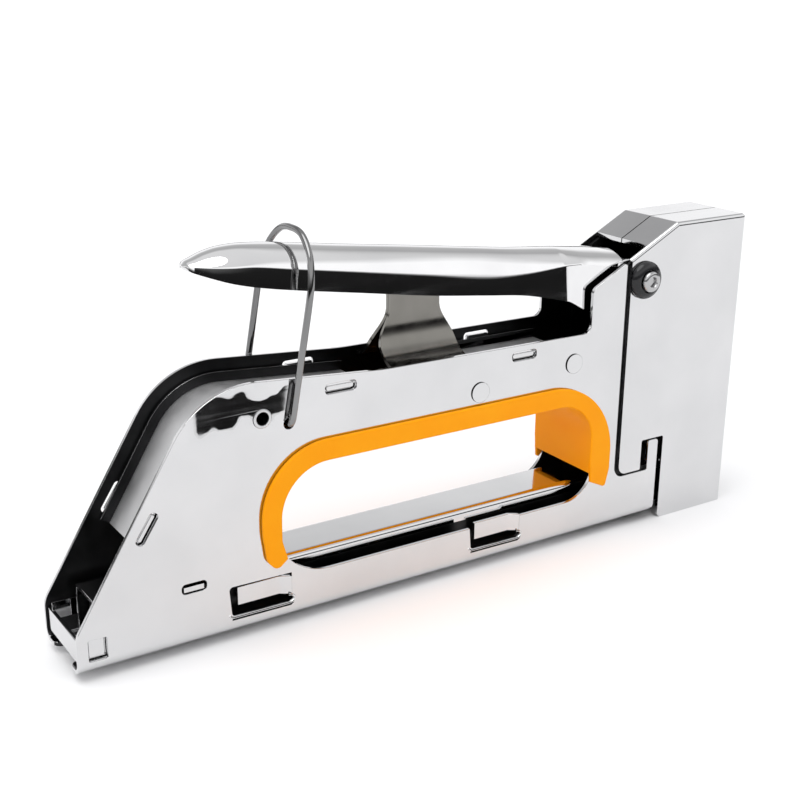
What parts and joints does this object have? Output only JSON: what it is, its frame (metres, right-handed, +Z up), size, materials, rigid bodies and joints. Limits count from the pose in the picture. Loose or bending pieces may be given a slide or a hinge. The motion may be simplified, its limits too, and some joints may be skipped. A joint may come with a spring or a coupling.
{
  "type": "hammer tacker",
  "caption": "Squeeze-lever hand tacker with chromed pressed shells, an orange finger guard, a wire lever lock and a pull-out staple magazine.",
  "frame": {"origin": "middle of the length and width, on the surface that the nose stands on", "axes": "+X towards the nose, +Y away from the near side, +Z up"},
  "size_m": [0.1976, 0.0292, 0.0949],
  "materials": {
    "shell_chrome": "polished chrome plate",
    "bright_steel": "zinc-plated steel",
    "dark_steel": "oiled hardened steel",
    "orange_guard": "satin moulded plastic",
    "black_washer": "gloss black",
    "bumper_rubber": "matt rubber"
  },
  "bodies": {
    "body": {"near_side_shell": "shell_chrome", "far_side_shell": "shell_chrome", "front_cover": "shell_chrome", "finger_guard": "orange_guard", "spine_strip": "shell_chrome", "rocker_bracket": "shell_chrome", "rocker_pin": "bright_steel", "drive_spring": "dark_steel", "spring_cap": "bright_steel", "plunger_bumper": "bumper_rubber", "nose_plate": "bright_steel", "magazine_housing": "shell_chrome", "pivot_bolt": "shell_chrome", "pivot_nut": "shell_chrome", "far_pivot_washer": "black_washer", "near_pivot_washer": "black_washer", "lanyard_eyelet": "bright_steel", "near_rear_rivet": "shell_chrome", "near_front_rivet": "shell_chrome", "far_rear_rivet": "shell_chrome", "far_front_rivet": "shell_chrome"},
    "lever": {"squeeze_lever": "shell_chrome", "pivot_sleeve": "bright_steel", "link_bracket": "bright_steel", "link_pin": "bright_steel"},
    "link": {"lever_link": "shell_chrome", "link_foot_pin": "bright_steel"},
    "rocker": {"rocker_arm": "dark_steel"},
    "plunger": {"plunger": "dark_steel", "driver_blade": "bright_steel"},
    "bail": {"lock_bail": "shell_chrome"},
    "magazine": {"staple_rail": "bright_steel", "magazine_end_plate": "shell_chrome", "spring_rod": "bright_steel", "staple_strip": "bright_steel", "pusher_spring": "bright_steel"},
    "pusher": {"staple_pusher": "bright_steel"}
  },
  "joints": [
    {"name": "lever_squeeze", "type": "hinge", "parent": "body", "child": "lever", "pos_m": [0.0618, 0, 0.0717], "axis": [0, -1, 0], "range_deg": [0, 7], "stiffness_Nm_per_rad": 5, "springref_deg": -14.32},
    {"name": "link_hinge", "type": "hinge", "parent": "lever", "child": "link", "pos_m": [-0.005, 0, 0.08], "axis": [0, -1, 0], "range_deg": [-7.5, 0.5]},
    {"name": "rocker_pivot", "type": "hinge", "parent": "body", "child": "rocker", "pos_m": [0.034, 0, 0.0488], "axis": [0, -1, 0], "range_deg": [-0.5, 12.5]},
    {"name": "plunger_lift", "type": "slide", "parent": "body", "child": "plunger", "axis": [0, 0, 1], "range_m": [-0.0005, 0.0118], "deforming": ["drive_spring"]},
    {"name": "bail_swing", "type": "hinge", "parent": "body", "child": "bail", "pos_m": [-0.0456, 0, 0.0515], "axis": [0, -1, 0], "range_deg": [0, 105]},
    {"name": "magazine_slide", "type": "slide", "parent": "body", "child": "magazine", "axis": [-1, 0, 0], "range_m": [0, 0.11]},
    {"name": "pusher_slide", "type": "slide", "parent": "magazine", "child": "pusher", "axis": [-1, 0, 0], "range_m": [0, 0.055], "stiffness_N_per_m": 40, "springref_m": -0.02, "deforming": ["pusher_spring"]}
  ],
  "couplings": [
    {"joint": "link_hinge", "follows": "lever_squeeze", "ratio": -1},
    {"joint": "rocker_pivot", "follows": "lever_squeeze", "ratio": 1.7},
    {"joint": "plunger_lift", "follows": "lever_squeeze", "m_per_rad": 0.0915}
  ]
}
